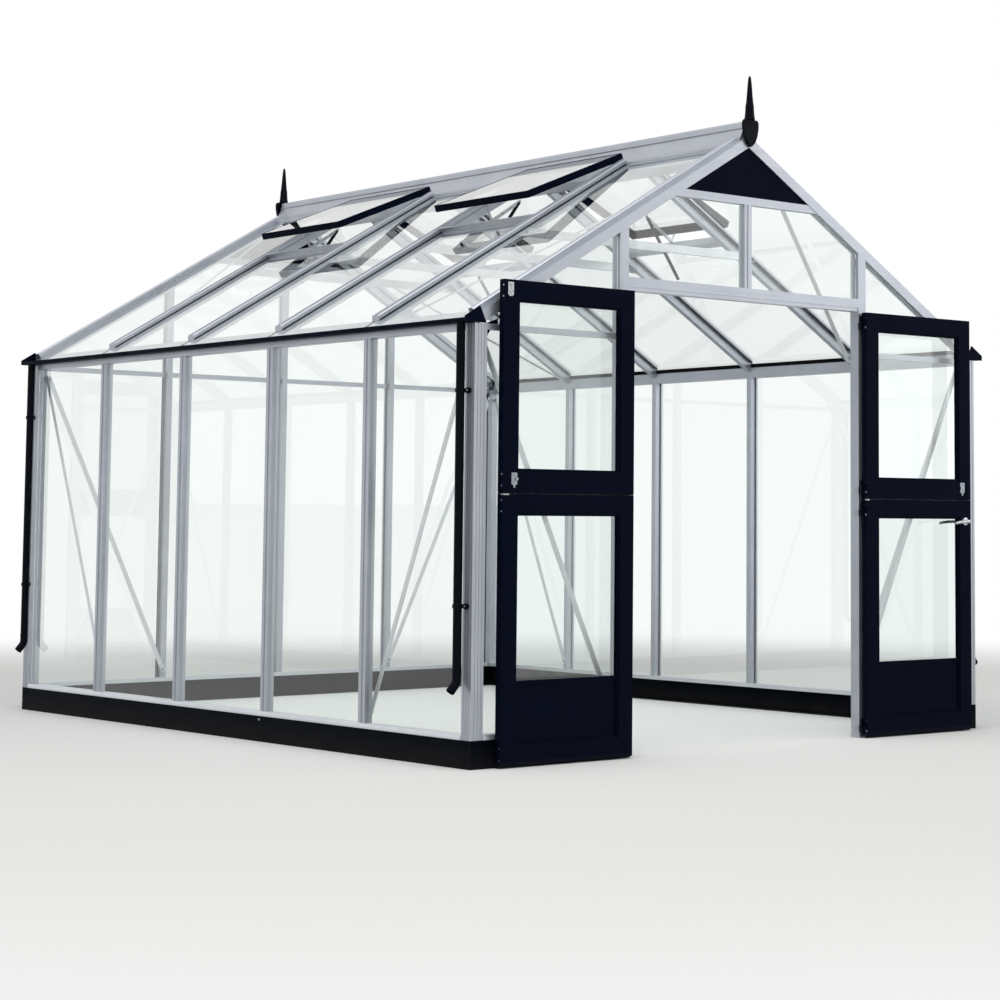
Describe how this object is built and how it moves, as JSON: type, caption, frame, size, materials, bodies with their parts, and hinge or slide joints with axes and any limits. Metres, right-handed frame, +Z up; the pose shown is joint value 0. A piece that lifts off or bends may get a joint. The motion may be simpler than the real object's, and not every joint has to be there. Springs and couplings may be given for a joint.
{
  "type": "glass greenhouse",
  "caption": "Aluminium and glass greenhouse on a black plinth, with split double doors, gutters, open roof vents and spiked ridge ends.",
  "frame": {"origin": "on the ground, in the middle of the greenhouse together with its opened doors", "axes": "+Z up; +X across the gable, to the right seen from the doors; +Y along the length, away from the doors"},
  "size_m": [3.1174, 3.8167, 2.884],
  "materials": {
    "aluminium_frame": "satin anodised extrusion",
    "black_plinth": "black powder coat on folded steel",
    "black_frame": "black powder coat on aluminium",
    "black_plastic": "black moulded plastic",
    "door_fittings": "zinc-plated steel",
    "clear_glass": "clear toughened glass"
  },
  "bodies": {
    "house": {"corner_posts": "aluminium_frame", "door_head": "aluminium_frame", "door_hinges": "aluminium_frame", "door_jambs": "aluminium_frame", "downpipes": "black_plastic", "eaves_rails": "aluminium_frame", "gable_glass": "clear_glass", "gable_panel_rails": "aluminium_frame", "gable_panels": "black_frame", "gable_posts": "aluminium_frame", "gable_rafters": "aluminium_frame", "gable_ties": "aluminium_frame", "gutters": "black_frame", "plinth_back": "black_plinth", "plinth_front": "black_plinth", "plinth_left": "black_plinth", "plinth_right": "black_plinth", "ridge_beam": "aluminium_frame", "ridge_ends": "black_plastic", "roof_bars": "aluminium_frame", "roof_braces": "aluminium_frame", "roof_glass": "clear_glass", "sill_rails": "aluminium_frame", "vent_frames": "black_frame", "vent_glass": "clear_glass", "vent_stays": "door_fittings", "vent_trimmers": "aluminium_frame", "wall_braces": "aluminium_frame", "wall_glass": "clear_glass", "wall_posts": "aluminium_frame"},
    "door_left_upper": {"door_left_upper_frame": "black_frame", "door_left_upper_glass": "clear_glass"},
    "door_left_lower": {"door_left_lower_frame": "black_frame", "door_left_lower_glass": "clear_glass", "door_left_kick_panel": "black_frame"},
    "door_right_upper": {"door_right_upper_frame": "black_frame", "door_right_upper_glass": "clear_glass", "door_latches": "door_fittings"},
    "door_right_lower": {"door_right_lower_frame": "black_frame", "door_right_lower_glass": "clear_glass", "door_right_kick_panel": "black_frame", "door_handle": "door_fittings"}
  },
  "joints": [
    {"name": "door_left_upper_hinge", "type": "hinge", "parent": "house", "child": "door_left_upper", "pos_m": [-0.6885, -1.814, 1.48], "axis": [0, 0, 1], "range_deg": [0, 180]},
    {"name": "door_left_lower_hinge", "type": "hinge", "parent": "house", "child": "door_left_lower", "pos_m": [-0.6885, -1.814, 0.53], "axis": [0, 0, 1], "range_deg": [0, 180]},
    {"name": "door_right_upper_hinge", "type": "hinge", "parent": "house", "child": "door_right_upper", "pos_m": [0.6885, -1.814, 1.48], "axis": [0, 0, -1], "range_deg": [0, 178]},
    {"name": "door_right_lower_hinge", "type": "hinge", "parent": "house", "child": "door_right_lower", "pos_m": [0.6885, -1.814, 0.53], "axis": [0, 0, -1], "range_deg": [0, 178]}
  ]
}
